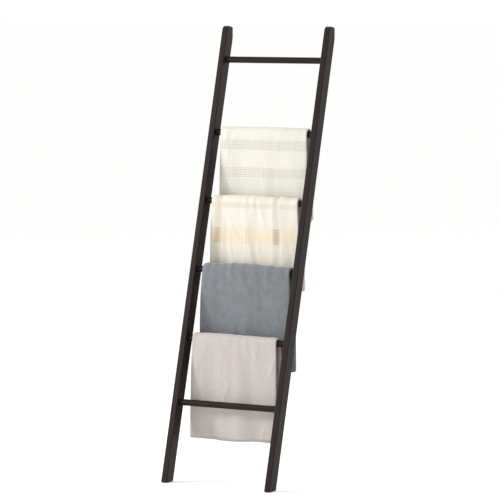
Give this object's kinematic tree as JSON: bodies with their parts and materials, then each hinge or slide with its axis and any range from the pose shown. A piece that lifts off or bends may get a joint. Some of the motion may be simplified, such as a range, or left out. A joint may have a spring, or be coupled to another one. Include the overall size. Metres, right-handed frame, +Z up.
{
  "type": "blanket ladder",
  "caption": "Leaning wooden blanket ladder with round rungs between flat dark rails, rubber feet and felt wall pads, and folded throws hung over its rungs.",
  "frame": {"origin": "on the floor, in the middle of the ladder's width and depth", "axes": "+Z up, +X along the rungs to the ladder's right seen from its front, +Y towards the wall that it leans on"},
  "size_m": [0.4906, 0.5152, 1.7728],
  "materials": {
    "stained_wood": "espresso-stained hardwood with a satin lacquer",
    "stained_plug": "espresso-stained end-grain plug, satin lacquer",
    "screw_steel": "zinc-plated steel",
    "foot_rubber": "matt black moulded rubber",
    "bumper_felt": "dense brown wool felt",
    "cream_knit": "chunky knit, cream",
    "ivory_plaid": "brushed twill, ivory with tan and golden windowpane lines",
    "grey_fleece": "plain fleece, slate grey",
    "blush_weave": "soft plain weave, blush greige"
  },
  "bodies": {
    "ladder": {"left_rail": "stained_wood", "right_rail": "stained_wood", "rung_1": "stained_wood", "rung_2": "stained_wood", "rung_3": "stained_wood", "rung_4": "stained_wood", "rung_5": "stained_wood", "rung_6": "stained_wood", "left_rung_screws": "screw_steel", "left_screw_plugs": "stained_plug", "left_foot_pad": "foot_rubber", "left_wall_bumper": "bumper_felt", "right_rung_screws": "screw_steel", "right_screw_plugs": "stained_plug", "right_foot_pad": "foot_rubber", "right_wall_bumper": "bumper_felt"},
    "cream_throw_body": {"cream_throw": "cream_knit"},
    "ivory_throw_body": {"ivory_throw": "ivory_plaid"},
    "grey_throw_body": {"grey_throw": "grey_fleece"},
    "blush_throw_body": {"blush_throw": "blush_weave"}
  },
  "joints": [
    {"name": "cream_throw_lift", "type": "slide", "parent": "ladder", "child": "cream_throw_body", "axis": [0, 0, 1], "range_m": [0, 0.45]},
    {"name": "ivory_throw_lift", "type": "slide", "parent": "ladder", "child": "ivory_throw_body", "axis": [0, 0, 1], "range_m": [0, 0.45]},
    {"name": "grey_throw_lift", "type": "slide", "parent": "ladder", "child": "grey_throw_body", "axis": [0, 0, 1], "range_m": [0, 0.45]},
    {"name": "blush_throw_lift", "type": "slide", "parent": "ladder", "child": "blush_throw_body", "axis": [0, 0, 1], "range_m": [0, 0.45]}
  ]
}
